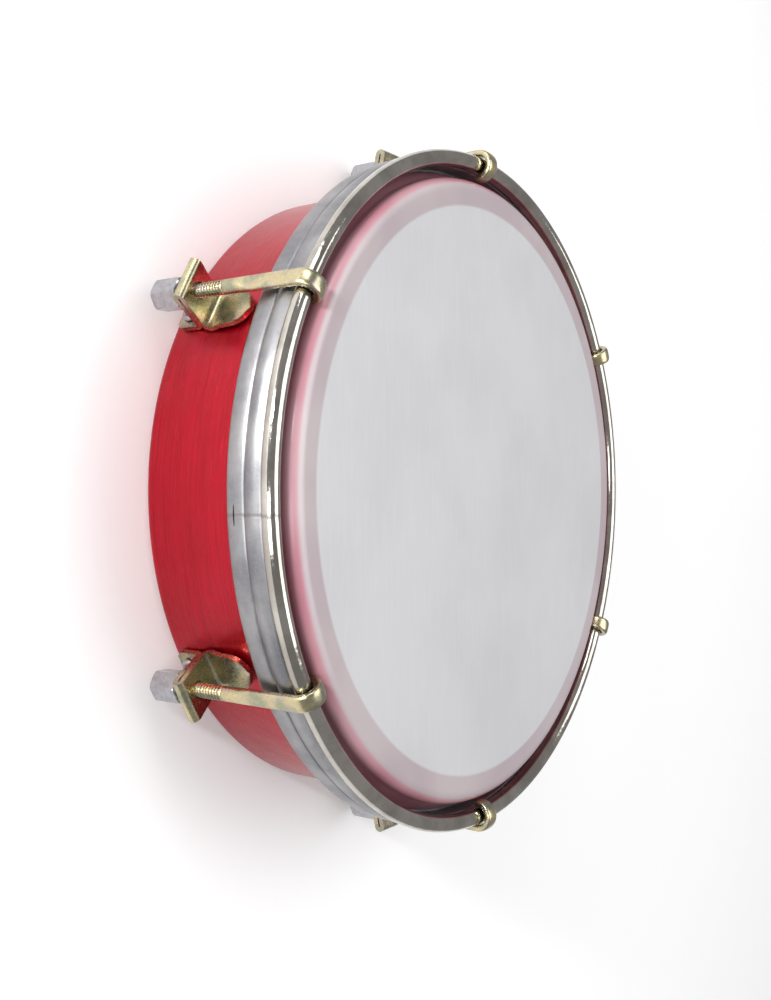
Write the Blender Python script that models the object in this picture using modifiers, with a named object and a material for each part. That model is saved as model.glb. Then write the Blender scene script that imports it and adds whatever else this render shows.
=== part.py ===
"""A tamborim: a small hand-held frame drum with one milky film head.

The drum lies on its open rear rim, head up, with its axis on +Z and its origin at the centre of that rim.
A red sheet-metal shell carries six pressed brackets. In each bracket a flattened J-hook hangs on the
rolled lip of the counter hoop, and a long nut under the bracket pulls it down.
"""

import math

import bmesh
import bpy
from mathutils import Matrix, Vector

MM = 0.001

# Shell
SHELL_RADIUS = 76.2 * MM
SHELL_WALL = 1.2 * MM
SHELL_DEPTH = 41.5 * MM
HEAD_FLANGE = 6.4 * MM
HEAD_CORNER = 2.5 * MM
REAR_FLANGE = 4.0 * MM
REAR_CORNER = 1.6 * MM

# Fits between pieces that touch on the real drum
SEAT_GAP = 0.3 * MM
RIVET_CLEARANCE = 0.25 * MM
THREAD_CLEARANCE = 0.2 * MM
ROD_CLEARANCE = 0.35 * MM

# Head film and the channel ring that grips its edge
FILM = 0.3 * MM
COLLAR_RUN = 0.3 * MM
COLLAR_BEND = 3.0 * MM
COLLAR_FLARE = math.radians(28)
COLLAR_SKIRT = 4.1 * MM
CHANNEL_WALL = 0.6 * MM
CHANNEL_WIDTH = 3.7 * MM
CHANNEL_OUTER_HEIGHT = 4.6 * MM
CHANNEL_INNER_HEIGHT = 2.4 * MM
CHANNEL_SHELL_GAP = 0.5 * MM
FILM_TUCK = 0.4 * MM

# Counter hoop, bent from one strip
HOOP_SHEET = 1.2 * MM
HOOP_CHANNEL_GAP = 0.9 * MM
BAND_1_HEIGHT = 3.6 * MM
GROOVE_HEIGHT = 0.8 * MM
GROOVE_DEPTH = 0.35 * MM
BAND_2_HEIGHT = 3.0 * MM
BAND_2_BULGE = 0.35 * MM
SHOULDER_BEND = 0.9 * MM
NECK_BEND = 0.8 * MM
BEAD_RADIUS = 1.95 * MM
BEAD_PAST_SKIRT = 0.85 * MM
BEAD_LIFT = 1.0 * MM
BEAD_CURL = math.radians(212)
SEAM_SLIT = 0.45 * MM
SEAM_ANGLE = math.radians(-86.6)

# Lugs
LUG_COUNT = 6
ROD_RADIUS = 1.6 * MM
FLAT_THICKNESS = 1.7 * MM
FLAT_WIDTH = 3.8 * MM
FLAT_BELOW_HOOP = 3.6 * MM
FLAT_RAMP = 2.0 * MM
HOOK_TIP = 0.5 * MM
ROD_BELOW_BRACKET = 7.0 * MM

SHEET = 1.2 * MM
TAB_START = 2.5 * MM
TAB_LENGTH = 7.0 * MM
TAB_WIDTH = 7.4 * MM
TAB_END_WIDTH = 5.4 * MM
RISER_LEAN = math.radians(14)
RISER_BEND = 1.3 * MM
CREST_WIDTH = 10.0 * MM
CREST_ABOVE_ROD = 5.2 * MM
HAIRPIN_GAP = 0.4 * MM
FOOT_BEND = 1.6 * MM
FOOT_LENGTH = 9.4 * MM
FOOT_WIDTH = 9.0 * MM
FOOT_TIP_WIDTH = 3.6 * MM
FOOT_DISH = 0.9 * MM

NUT_FLATS = 6.35 * MM
NUT_LENGTH = 7.4 * MM
NUT_CHAMFER = 0.9 * MM

RIVET_UP_TAB = 2.94 * MM
RIVET_SHANK_RADIUS = 1.3 * MM
RIVET_HEAD_RADIUS = 2.2 * MM
RIVET_HEAD_HEIGHT = 1.1 * MM
RIVET_DIMPLE = 0.6 * MM
RIVET_TAIL_RADIUS = 1.9 * MM
RIVET_TAIL_HEIGHT = 1.4 * MM

# Facets
RING_STEPS = 54
SMALL_STEPS = 14
ROD_SIDES = 10
FOOT_PARTS = 6
NUT_SIDES = 6
SMOOTH_BELOW = math.radians(38)


# Frames worked out from the sizes above
CHANNEL_INNER_RADIUS = SHELL_RADIUS + CHANNEL_SHELL_GAP
CHANNEL_OUTER_RADIUS = CHANNEL_INNER_RADIUS + CHANNEL_WIDTH
SKIRT_RADIUS = CHANNEL_OUTER_RADIUS + HOOP_CHANNEL_GAP + HOOP_SHEET / 2
BEAD_CENTRE_RADIUS = SKIRT_RADIUS + HOOP_SHEET / 2 + BEAD_PAST_SKIRT - BEAD_RADIUS
HOOK_BEND = BEAD_RADIUS + SEAT_GAP + FLAT_THICKNESS / 2
ROD_AXIS_RADIUS = BEAD_CENTRE_RADIUS + HOOK_BEND
SHEET_MID = SHELL_RADIUS + SEAT_GAP + SHEET / 2
HAIRPIN_BEND = (HAIRPIN_GAP + SHEET) / 2
CREST_RADIUS = ROD_AXIS_RADIUS + CREST_ABOVE_ROD
TAB_END = TAB_START + TAB_LENGTH


def bent_path(start, heading, steps):
    """Points of a path of runs and arcs in the (radius, height) plane.

    heading is an angle from +radius towards +Z. A step is ("run", length) or
    ("arc", radius, turn, parts), where a positive turn bends towards the left of the heading.
    """
    r, z = start
    points = [(r, z)]
    for step in steps:
        if step[0] == "run":
            r += step[1] * math.cos(heading)
            z += step[1] * math.sin(heading)
            points.append((r, z))
            continue
        _, radius, turn, parts = step
        side = math.copysign(1.0, turn)
        centre_r = r - side * radius * math.sin(heading)
        centre_z = z + side * radius * math.cos(heading)
        first = heading
        for part in range(1, parts + 1):
            heading = first + turn * part / parts
            r = centre_r + side * radius * math.sin(heading)
            z = centre_z - side * radius * math.cos(heading)
            points.append((r, z))
    return points


def offset_side(path, distance):
    """The path moved sideways by a distance, to the left of its direction."""
    moved = []
    for i, point in enumerate(path):
        here = Vector(point)
        before = Vector(path[max(i - 1, 0)])
        after = Vector(path[min(i + 1, len(path) - 1)])
        ahead = (after - here).normalized() if i < len(path) - 1 else (here - before).normalized()
        behind = (here - before).normalized() if i else ahead
        mean = (ahead + behind).normalized()
        normal = Vector((-mean.y, mean.x))
        stretch = 1.0 / max(mean.dot(ahead), 0.5)
        moved.append(tuple(here + normal * distance * stretch))
    return moved


def sheet_outline(path, thickness):
    """The closed outline of a strip of sheet whose middle follows the path."""
    left = offset_side(path, thickness / 2)
    right = offset_side(path, -thickness / 2)
    return left + right[::-1]


def outline_area(outline):
    pairs = zip(outline, outline[1:] + outline[:1])
    return sum(a[0] * b[1] - b[0] * a[1] for a, b in pairs) / 2


def material(name, colour, roughness, metallic, alpha=1.0):
    made = bpy.data.materials.new(name)
    made.use_nodes = True
    shader = made.node_tree.nodes["Principled BSDF"]
    shader.inputs["Base Color"].default_value = (*colour, 1.0)
    shader.inputs["Roughness"].default_value = roughness
    shader.inputs["Metallic"].default_value = metallic
    shader.inputs["Alpha"].default_value = alpha
    return made


def new_object(name, mesh, collection, finish=None):
    made = bpy.data.objects.new(name, mesh)
    collection.objects.link(made)
    if finish and not mesh.materials:
        mesh.materials.append(finish)
    return made


def turned(name, outline, steps, collection, finish=None, closed=True):
    """A profile in the XZ plane with a Screw modifier, run so that its faces point out.

    An open outline starts and ends on the axis.
    """
    if outline_area(outline) > 0:
        outline = outline[::-1]
    mesh = bpy.data.meshes.new(name)
    count = len(outline)
    edges = [(i, (i + 1) % count) for i in range(count if closed else count - 1)]
    mesh.from_pydata([(r, 0.0, z) for r, z in outline], edges, [])
    made = new_object(name, mesh, collection, finish)
    screw = made.modifiers.new("Turn", "SCREW")
    screw.steps = steps
    screw.render_steps = steps
    screw.use_merge_vertices = True
    screw.merge_threshold = 0.00001
    screw.use_smooth_shade = True
    return made


def baked_mesh(source, name):
    """The evaluated mesh of an object, with shading split at its sharp edges."""
    graph = bpy.context.evaluated_depsgraph_get()
    mesh = bpy.data.meshes.new_from_object(source.evaluated_get(graph))
    mesh.name = name
    mesh.shade_smooth()
    mesh.set_sharp_from_angle(angle=SMOOTH_BELOW)
    return mesh


def remove(*objects):
    for unwanted in objects:
        bpy.data.objects.remove(unwanted, do_unlink=True)


def as_cutter(cutter):
    cutter.hide_render = True
    cutter.display_type = "WIRE"
    return cutter


def cylinder(name, radius, depth, matrix, collection, sides):
    mesh = bpy.data.meshes.new(name)
    shape = bmesh.new()
    bmesh.ops.create_cone(shape, cap_ends=True, segments=sides, radius1=radius, radius2=radius,
                          depth=depth)
    shape.to_mesh(mesh)
    shape.free()
    made = new_object(name, mesh, collection)
    made.matrix_world = matrix
    return made


def block(name, size, matrix, collection):
    mesh = bpy.data.meshes.new(name)
    shape = bmesh.new()
    bmesh.ops.create_cube(shape, size=1.0, matrix=Matrix.Diagonal((*size, 1.0)))
    shape.to_mesh(mesh)
    shape.free()
    made = new_object(name, mesh, collection)
    made.matrix_world = matrix
    return made


def boolean(target, cutter, operation="DIFFERENCE"):
    cut = target.modifiers.new("Cut", "BOOLEAN")
    cut.operation = operation
    cut.solver = "EXACT"
    cut.object = cutter


def lug_turn(index):
    return Matrix.Rotation(math.tau * index / LUG_COUNT, 4, "Z")


def shell_path():
    """The shell's middle line, from the rear flange's edge round to the head flange's edge."""
    half = SHELL_WALL / 2
    mid = SHELL_RADIUS - half
    rear_bend = REAR_CORNER - half
    head_bend = HEAD_CORNER - half
    wall = SHELL_DEPTH - REAR_CORNER - HEAD_CORNER
    return bent_path(
        (SHELL_RADIUS - REAR_CORNER - REAR_FLANGE, half),
        0.0,
        [
            ("run", REAR_FLANGE),
            ("arc", rear_bend, math.pi / 2, 3),
            ("run", wall),
            ("arc", head_bend, math.pi / 2, 4),
            ("run", mid - head_bend - (SHELL_RADIUS - HEAD_FLANGE)),
        ],
    )


def rivet_height():
    return TAB_START + RIVET_UP_TAB


def make_shell(parts, cutters, finish):
    """The shell: one sheet with a stiffening flange at the rear and a bearing flange at the head."""
    shell = turned("shell", sheet_outline(shell_path(), SHELL_WALL), RING_STEPS, parts, finish)
    for index in range(LUG_COUNT):
        place = lug_turn(index) @ Matrix.Translation((SHELL_RADIUS, 0, rivet_height()))
        place = place @ Matrix.Rotation(math.pi / 2, 4, "Y")
        hole = cylinder(f"rivet_hole_{index + 1}", RIVET_SHANK_RADIUS + RIVET_CLEARANCE,
                        6 * SHELL_WALL, place, cutters, SMALL_STEPS)
        boolean(shell, as_cutter(hole))
    return shell


def film_path():
    """The film's middle line: flat over the bearing flange, round its corner and down the collar."""
    bend = HEAD_CORNER + SEAT_GAP + FILM / 2
    flat = SHELL_RADIUS - HEAD_CORNER
    return bent_path(
        (0.0, SHELL_DEPTH + SEAT_GAP + FILM / 2),
        0.0,
        [
            ("run", flat),
            ("arc", bend, -math.pi / 2, 5),
            ("run", COLLAR_RUN),
            ("arc", COLLAR_BEND, COLLAR_FLARE, 2),
            ("run", COLLAR_SKIRT),
        ],
    )


def channel_floor():
    """Height of the channel ring's underside, from where the film's edge ends."""
    return film_path()[-1][1] - FILM_TUCK - CHANNEL_WALL


def make_head_film(parts, finish):
    """The milky film: a disc, a rounded shoulder and a flared collar that ends in the channel ring."""
    path = film_path()
    top = offset_side(path, FILM / 2)
    under = offset_side(path, -FILM / 2)
    top[0] = (0.0, top[0][1])
    under[0] = (0.0, under[0][1])
    return turned("head_film", top + under[::-1], RING_STEPS, parts, finish, closed=False)


def make_flesh_hoop(parts, finish):
    """The channel ring round the shell that holds the film's edge."""
    floor = channel_floor()
    inner, outer = CHANNEL_INNER_RADIUS, CHANNEL_OUTER_RADIUS
    wall = CHANNEL_WALL
    outline = [
        (inner, floor),
        (outer, floor),
        (outer, floor + CHANNEL_OUTER_HEIGHT),
        (outer - wall, floor + CHANNEL_OUTER_HEIGHT),
        (outer - wall, floor + wall),
        (inner + wall, floor + wall),
        (inner + wall, floor + CHANNEL_INNER_HEIGHT),
        (inner, floor + CHANNEL_INNER_HEIGHT),
    ]
    return turned("flesh_hoop", outline, RING_STEPS, parts, finish)


def shoulder_height():
    """Middle height of the shoulder by which the counter hoop bears on the channel ring."""
    return channel_floor() + CHANNEL_OUTER_HEIGHT + SEAT_GAP + HOOP_SHEET / 2


def hoop_rear():
    skirt = BAND_1_HEIGHT + GROOVE_HEIGHT + BAND_2_HEIGHT
    return shoulder_height() - SHOULDER_BEND - skirt


def bead_centre():
    return BEAD_CENTRE_RADIUS, shoulder_height() + NECK_BEND + BEAD_LIFT


def make_counter_hoop(parts, cutters, finish):
    """The counter hoop, one strip: a flat band, a pressed groove, a rounded band, a shoulder and a
    lip rolled outwards into a bead. Its ends meet in a seam, which stays open in the flat band."""
    rear = hoop_rear()
    groove = rear + BAND_1_HEIGHT
    band_2 = groove + GROOVE_HEIGHT
    skirt = [(SKIRT_RADIUS, rear), (SKIRT_RADIUS, groove)]
    skirt += [(SKIRT_RADIUS - GROOVE_DEPTH, groove + GROOVE_HEIGHT / 2)]
    bulges = 3
    for part in range(bulges):
        share = part / bulges
        bulge = BAND_2_BULGE * math.sin(math.pi * share)
        skirt.append((SKIRT_RADIUS + bulge, band_2 + share * BAND_2_HEIGHT))
    centre_r, centre_z = bead_centre()
    curl = BEAD_RADIUS - HOOP_SHEET / 2
    shoulder_run = SKIRT_RADIUS - SHOULDER_BEND - NECK_BEND - (centre_r - curl)
    rise = centre_z - shoulder_height() - NECK_BEND
    lip = bent_path(
        (SKIRT_RADIUS, band_2 + BAND_2_HEIGHT),
        math.pi / 2,
        [
            ("arc", SHOULDER_BEND, math.pi / 2, 2),
            ("run", shoulder_run),
            ("arc", NECK_BEND, -math.pi / 2, 2),
            ("run", rise),
            ("arc", curl, -BEAD_CURL, 7),
        ],
    )
    hoop = turned("counter_hoop", sheet_outline(skirt + lip, HOOP_SHEET), RING_STEPS, parts, finish)
    reach = HOOP_SHEET * 4
    slit_height = BAND_1_HEIGHT + GROOVE_HEIGHT / 2
    place = Matrix.Rotation(SEAM_ANGLE, 4, "Z")
    place = place @ Matrix.Translation((SKIRT_RADIUS, 0, rear + slit_height / 2 - SEAM_SLIT))
    size = (reach, SEAM_SLIT, slit_height + 2 * SEAM_SLIT)
    boolean(hoop, as_cutter(block("seam_slit", size, place, cutters)))
    return hoop


def bracket_stations():
    """Stations along the bent strip, each (radius, height, half width, dish)."""
    upright = math.pi / 2
    tab = TAB_LENGTH - RISER_BEND
    riser_start = SHEET_MID + RISER_BEND * (1 - math.sin(RISER_LEAN))
    crest = CREST_RADIUS - HAIRPIN_BEND - SHEET / 2
    leg_start = crest - 2 * HAIRPIN_BEND * math.sin(RISER_LEAN)
    foot_start = SHEET_MID + FOOT_BEND * (1 + math.sin(RISER_LEAN))
    tab_half, crest_half, foot_half = TAB_WIDTH / 2, CREST_WIDTH / 2, FOOT_WIDTH / 2
    tip_half = FOOT_TIP_WIDTH / 2
    steps = [
        ("run", tab * 0.15),
        ("run", tab * 0.85),
        ("arc", RISER_BEND, RISER_LEAN - upright, 3),
        ("run", (crest - riser_start) / math.cos(RISER_LEAN)),
        ("arc", HAIRPIN_BEND, math.pi, 5),
        ("run", (leg_start - foot_start) / math.cos(RISER_LEAN)),
        ("arc", FOOT_BEND, -upright - RISER_LEAN, 4),
    ]
    steps += [("run", FOOT_LENGTH / FOOT_PARTS)] * FOOT_PARTS
    halves = [TAB_END_WIDTH / 2] + [tab_half] * 5 + [crest_half] * 6
    halves += [foot_half + (crest_half - foot_half) * 0.4] + [foot_half] * 4
    stations = []
    for i, (r, z) in enumerate(bent_path((SHEET_MID, TAB_START), upright, steps)):
        if i < len(halves):
            stations.append((r, z, halves[i], 0.0))
            continue
        share = (i - len(halves) + 1) / FOOT_PARTS
        half = tip_half + (foot_half - tip_half) * math.sqrt(1 - share ** 3)
        stations.append((r, z, half, FOOT_DISH * math.sin(math.pi * share * 0.8)))
    return stations


def make_bracket_mesh(cutters):
    """A pressed strip: a riveted tab, a riser, a hairpin crest, a leg and a dished bearing foot."""
    stations = bracket_stations()
    columns = 5
    shape = bmesh.new()
    rows = len(stations)
    bmesh.ops.create_grid(shape, x_segments=rows - 1, y_segments=columns - 1, size=0.5)
    shape.verts.ensure_lookup_table()
    for vertex in shape.verts:
        row = round((vertex.co.x + 0.5) * (rows - 1))
        across = vertex.co.y * 2
        r, z, half, dish = stations[row]
        vertex.co = Vector((r + dish * across * across, across * half, z))
    bmesh.ops.recalc_face_normals(shape, faces=shape.faces)
    mesh = bpy.data.meshes.new("bracket_strip")
    shape.to_mesh(mesh)
    shape.free()
    strip = new_object("bracket_strip", mesh, cutters)
    wall = strip.modifiers.new("Sheet", "SOLIDIFY")
    wall.thickness = SHEET
    wall.offset = 0.0
    wall.use_even_offset = True

    way_z = TAB_END + 6 * SHEET
    rod = cylinder("rod_way", ROD_RADIUS + ROD_CLEARANCE, 30 * MM,
                   Matrix.Translation((ROD_AXIS_RADIUS, 0, way_z)), cutters, SMALL_STEPS)
    rivet = cylinder("rivet_way", RIVET_SHANK_RADIUS + RIVET_CLEARANCE, 8 * SHEET,
                     Matrix.Translation((SHEET_MID, 0, rivet_height()))
                     @ Matrix.Rotation(math.pi / 2, 4, "Y"), cutters, SMALL_STEPS)
    boolean(strip, rod)
    boolean(strip, rivet)
    baked = baked_mesh(strip, "bracket")
    remove(strip, rod, rivet)
    return baked


def section(centre, across, out, thick, wide, squareness):
    """A ring of points round a rod: a circle, or a rounded bar where squareness passes 2."""
    ring = []
    for side in range(ROD_SIDES):
        angle = math.tau * (side + 0.5) / ROD_SIDES
        c, s = math.cos(angle), math.sin(angle)
        power = 2.0 / squareness
        x = math.copysign(abs(c) ** power, c) * thick
        y = math.copysign(abs(s) ** power, s) * wide
        ring.append(centre + out * x + across * y)
    return ring


def loft(name, rings):
    """A closed tube through rings of as many points each."""
    shape = bmesh.new()
    loops = [[shape.verts.new(point) for point in ring] for ring in rings]
    for first, second in zip(loops, loops[1:]):
        for i in range(len(first)):
            j = (i + 1) % len(first)
            shape.faces.new((first[i], first[j], second[j], second[i]))
    shape.faces.new(loops[0][::-1])
    shape.faces.new(loops[-1])
    bmesh.ops.recalc_face_normals(shape, faces=shape.faces)
    mesh = bpy.data.meshes.new(name)
    shape.to_mesh(mesh)
    shape.free()
    mesh.shade_smooth()
    mesh.set_sharp_from_angle(angle=SMOOTH_BELOW)
    return mesh


def riser_rear_height():
    """Height at which the nut bears on the riser: its rear face at the nut's inner edge."""
    inner_edge = ROD_AXIS_RADIUS - NUT_FLATS / math.sqrt(3)
    up = RISER_BEND * math.cos(RISER_LEAN)
    bend_end_z = TAB_END - RISER_BEND + up
    bend_end_r = SHEET_MID + RISER_BEND * (1 - math.sin(RISER_LEAN))
    slope = math.tan(RISER_LEAN)
    return bend_end_z + (inner_edge - bend_end_r) * slope - SHEET / 2 / math.cos(RISER_LEAN)


def nut_top():
    return riser_rear_height() - SEAT_GAP


def make_hook_mesh():
    """A tension hook in its own frame: a round shank along Z, flattened above, and a bend that goes
    inwards over the hoop's bead. Its origin lies on the shank's axis at the height of the nut's top."""
    bead_r, bead_z = bead_centre()
    base = nut_top()
    start = base - ROD_BELOW_BRACKET
    flat_from = hoop_rear() - FLAT_BELOW_HOOP
    path = bent_path(
        (ROD_AXIS_RADIUS, start),
        math.pi / 2,
        [
            ("run", 0.4 * MM),
            ("run", flat_from - start - 0.4 * MM),
            ("run", FLAT_RAMP),
            ("run", bead_z - flat_from - FLAT_RAMP),
            ("arc", HOOK_BEND, math.pi, 8),
            ("run", HOOK_TIP),
        ],
    )
    rings = []
    for i, (r, z) in enumerate(path):
        before = Vector(path[max(i - 1, 0)])
        after = Vector(path[min(i + 1, len(path) - 1)])
        ahead = (after - before).normalized()
        out = Vector((ahead.y, 0, -ahead.x))
        across = Vector((0, 1, 0))
        centre = Vector((r - ROD_AXIS_RADIUS, 0, z - base))
        if i == 0:
            rings.append(section(centre, across, out, ROD_RADIUS * 0.75, ROD_RADIUS * 0.75, 2.0))
        elif i < 3:
            rings.append(section(centre, across, out, ROD_RADIUS, ROD_RADIUS, 2.0))
        else:
            rings.append(section(centre, across, out, FLAT_THICKNESS / 2, FLAT_WIDTH / 2, 3.0))
    return loft("tension_hook", rings)


def make_nut_mesh(cutters):
    """A long hexagon nut with both ends chamfered, its origin at its top on its own axis."""
    corner = NUT_FLATS / math.sqrt(3)
    below = Matrix.Translation((0, 0, -NUT_LENGTH / 2))
    hexagon = cylinder("nut_blank", corner, NUT_LENGTH, below, cutters, NUT_SIDES)
    outline = [
        (0.0, 0.0),
        (corner - NUT_CHAMFER, 0.0),
        (corner + NUT_CHAMFER, -NUT_CHAMFER),
        (corner + NUT_CHAMFER, NUT_CHAMFER * 1.4 - NUT_LENGTH),
        (corner - NUT_CHAMFER, -NUT_LENGTH),
        (0.0, -NUT_LENGTH),
    ]
    turned_ends = turned("nut_ends", outline, 2 * SMALL_STEPS, cutters, closed=False)
    bore = cylinder("nut_bore", ROD_RADIUS + THREAD_CLEARANCE, 3 * NUT_LENGTH, below, cutters,
                    SMALL_STEPS)
    boolean(hexagon, turned_ends, "INTERSECT")
    boolean(hexagon, bore)
    baked = baked_mesh(hexagon, "tension_nut")
    baked.transform(below)
    remove(hexagon, turned_ends, bore)
    return baked


def make_rivet_mesh(cutters):
    """A rivet along Z: a domed head with a dimple outside, a shank, and a set tail inside the shell."""
    head_seat = SHELL_RADIUS + 2 * SEAT_GAP + SHEET
    tail_seat = SHELL_RADIUS - SHELL_WALL - SEAT_GAP
    head, height = RIVET_HEAD_RADIUS, RIVET_HEAD_HEIGHT
    outline = [
        (0.0, head_seat + height * 0.45),
        (RIVET_DIMPLE, head_seat + height * 0.55),
        (RIVET_DIMPLE * 1.3, head_seat + height),
        (head * 0.75, head_seat + height * 0.72),
        (head, head_seat + height * 0.2),
        (head, head_seat),
        (RIVET_SHANK_RADIUS, head_seat),
        (RIVET_SHANK_RADIUS, tail_seat),
        (RIVET_TAIL_RADIUS, tail_seat),
        (RIVET_TAIL_RADIUS, tail_seat - RIVET_TAIL_HEIGHT * 0.6),
        (RIVET_TAIL_RADIUS * 0.6, tail_seat - RIVET_TAIL_HEIGHT),
        (0.0, tail_seat - RIVET_TAIL_HEIGHT),
    ]
    made = turned("rivet_blank", outline, SMALL_STEPS, cutters, closed=False)
    baked = baked_mesh(made, "bracket_rivet")
    remove(made)
    return baked


def make_lugs(parts, cutters, zinc, bright):
    """Six lugs, each with a bracket, a rivet, a tension hook and a nut of its own."""
    bracket = make_bracket_mesh(cutters)
    hook = make_hook_mesh()
    nut = make_nut_mesh(cutters)
    rivet = make_rivet_mesh(cutters)
    for mesh, finish in ((bracket, zinc), (hook, zinc), (nut, bright), (rivet, bright)):
        mesh.materials.append(finish)
    on_axis = Matrix.Translation((ROD_AXIS_RADIUS, 0, nut_top()))
    rivet_place = Matrix.Translation((0, 0, rivet_height())) @ Matrix.Rotation(math.pi / 2, 4, "Y")
    for index in range(LUG_COUNT):
        turn = lug_turn(index)
        number = index + 1
        new_object(f"bracket_{number}", bracket, parts).matrix_world = turn
        new_object(f"tension_hook_{number}", hook, parts).matrix_world = turn @ on_axis
        new_object(f"tension_nut_{number}", nut, parts).matrix_world = turn @ on_axis
        new_object(f"bracket_rivet_{number}", rivet, parts).matrix_world = turn @ rivet_place


def main():
    for old in list(bpy.data.objects):
        bpy.data.objects.remove(old, do_unlink=True)
    parts = bpy.data.collections.new("tamborim")
    cutters = bpy.data.collections.new("cutters")
    bpy.context.scene.collection.children.link(parts)
    bpy.context.scene.collection.children.link(cutters)

    red = material("red_lacquer", (0.50, 0.004, 0.016), 0.28, 0.55)
    milky = material("milky_film", (0.62, 0.62, 0.63), 0.32, 0.0)
    steel = material("plated_steel", (0.52, 0.52, 0.55), 0.26, 1.0)
    zinc = material("yellow_zinc", (0.58, 0.55, 0.38), 0.30, 1.0)
    bright = material("bright_zinc", (0.72, 0.72, 0.74), 0.18, 1.0)

    make_shell(parts, cutters, red)
    make_head_film(parts, milky)
    make_flesh_hoop(parts, steel)
    make_counter_hoop(parts, cutters, steel)
    make_lugs(parts, cutters, zinc, bright)


main()
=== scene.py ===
import math

import bpy
import numpy as np
from mathutils import Matrix, Vector


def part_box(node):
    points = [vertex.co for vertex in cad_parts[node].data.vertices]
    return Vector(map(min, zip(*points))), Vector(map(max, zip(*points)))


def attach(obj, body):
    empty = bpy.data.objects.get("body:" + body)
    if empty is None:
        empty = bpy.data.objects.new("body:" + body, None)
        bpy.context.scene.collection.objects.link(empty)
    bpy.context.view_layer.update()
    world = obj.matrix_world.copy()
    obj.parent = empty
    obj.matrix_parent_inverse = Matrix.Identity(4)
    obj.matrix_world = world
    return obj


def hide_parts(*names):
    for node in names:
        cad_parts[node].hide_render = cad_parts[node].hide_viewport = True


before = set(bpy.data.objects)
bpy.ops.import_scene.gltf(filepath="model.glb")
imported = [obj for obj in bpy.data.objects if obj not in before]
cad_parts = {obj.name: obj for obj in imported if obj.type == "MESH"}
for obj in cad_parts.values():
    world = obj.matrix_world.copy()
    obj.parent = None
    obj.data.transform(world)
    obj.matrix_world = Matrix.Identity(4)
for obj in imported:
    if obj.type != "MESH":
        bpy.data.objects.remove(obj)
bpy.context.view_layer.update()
MM = 0.001
SLOT = {
    "shell": "red_lacquer",
    "film": "milky_film",
    "steel": "plated_steel",
    "zinc": "yellow_zinc",
    "bright": "bright_zinc",
}
print(len(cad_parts), "CAD nodes")

# %% [markdown]
# ## Surfaces from grids of points
# Almost every piece of a drum is rolled, spun or bent, so a surface is one grid of points: a profile turned
# round the axis, or a section carried along a bent path. Rows follow the profile and columns go round it.
# Primitives and modifiers could do it too, but a grid gives each curve exactly the points that it needs.
# %% A mesh from a grid


def signed_volume(points, quads):
    """The sum of a . (b x c) over the triangles, positive where the faces look outwards."""
    p = points.reshape(-1, 3)[quads]
    first = np.einsum("ij,ij->i", p[:, 0], np.cross(p[:, 1], p[:, 2])).sum()
    return first + np.einsum("ij,ij->i", p[:, 0], np.cross(p[:, 2], p[:, 3])).sum()


def grid_object(name, points, wrap_rows=False, wrap_columns=True, caps=False):
    """A mesh from a (rows, columns, 3) array of millimetres, joined row by row, closed as asked."""
    rows, columns = points.shape[:2]
    row = np.arange(rows if wrap_rows else rows - 1)
    column = np.arange(columns if wrap_columns else columns - 1)
    i, j = (a.ravel() for a in np.meshgrid(row, column, indexing="ij"))
    up = (i + 1) % rows
    right = (j + 1) % columns
    corners = [i * columns + j, i * columns + right, up * columns + right, up * columns + j]
    quads = np.stack(corners, axis=1)
    faces = quads.tolist()
    if caps:
        faces.append(list(range(columns))[::-1])
        faces.append(list(range((rows - 1) * columns, rows * columns)))
    mesh = bpy.data.meshes.new(name)
    mesh.from_pydata((points.reshape(-1, 3) * MM).tolist(), [], faces)
    if signed_volume(points, quads) < 0:
        mesh.flip_normals()
    mesh.shade_smooth()
    made = bpy.data.objects.new(name, mesh)
    bpy.context.scene.collection.objects.link(made)
    return made


def sharpen(made, degrees):
    """Keeps edges that turn by more than the angle crisp in the smooth shading."""
    made.data.set_sharp_from_angle(angle=math.radians(degrees))


# %% [markdown]
# ## Bent sheet and turned rings
# Sheet metal is drawn as its middle line: straight runs and arcs. Moving that line by half the thickness to
# each side gives the sheet's outline. Listing the outline's points would work, but would hide how it is bent.
# %% Paths, strips and rings
RUN_STEP = 0.7
ARC_STEP = 9
TURN_STEPS = 540
LUGS = 6


def path(start, heading, *steps):
    """Points of a path in the (radius, height) plane; heading in degrees from +radius.

    A step is a run (length,) or an arc (radius, turn in degrees), where a positive turn bends to the left.
    """
    points = [np.array(start, float)]
    angle = math.radians(heading)
    for step in steps:
        here = points[-1]
        if len(step) == 1:
            count = max(2, int(step[0] / RUN_STEP) + 1)
            for t in np.linspace(0, step[0], count)[1:]:
                points.append(here + t * np.array([math.cos(angle), math.sin(angle)]))
            continue
        radius, turn = step[0], math.radians(step[1])
        side = math.copysign(1, turn)
        centre = here + side * radius * np.array([-math.sin(angle), math.cos(angle)])
        count = max(5, int(abs(step[1]) / ARC_STEP))
        for a in angle + turn * np.arange(1, count + 1) / count:
            points.append(centre - side * radius * np.array([-math.sin(a), math.cos(a)]))
        angle += turn
    return np.array(points)


def normals(line):
    """Unit normals to the left of a line's direction, from central differences."""
    ahead = np.gradient(line, axis=0)
    ahead /= np.linalg.norm(ahead, axis=1)[:, None]
    return np.stack([-ahead[:, 1], ahead[:, 0]], axis=1)


def lengths(line):
    """The distance along a line at each of its points: the running sum of its steps."""
    return np.concatenate([[0], np.cumsum(np.linalg.norm(np.diff(line, axis=0), axis=1))])


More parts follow.
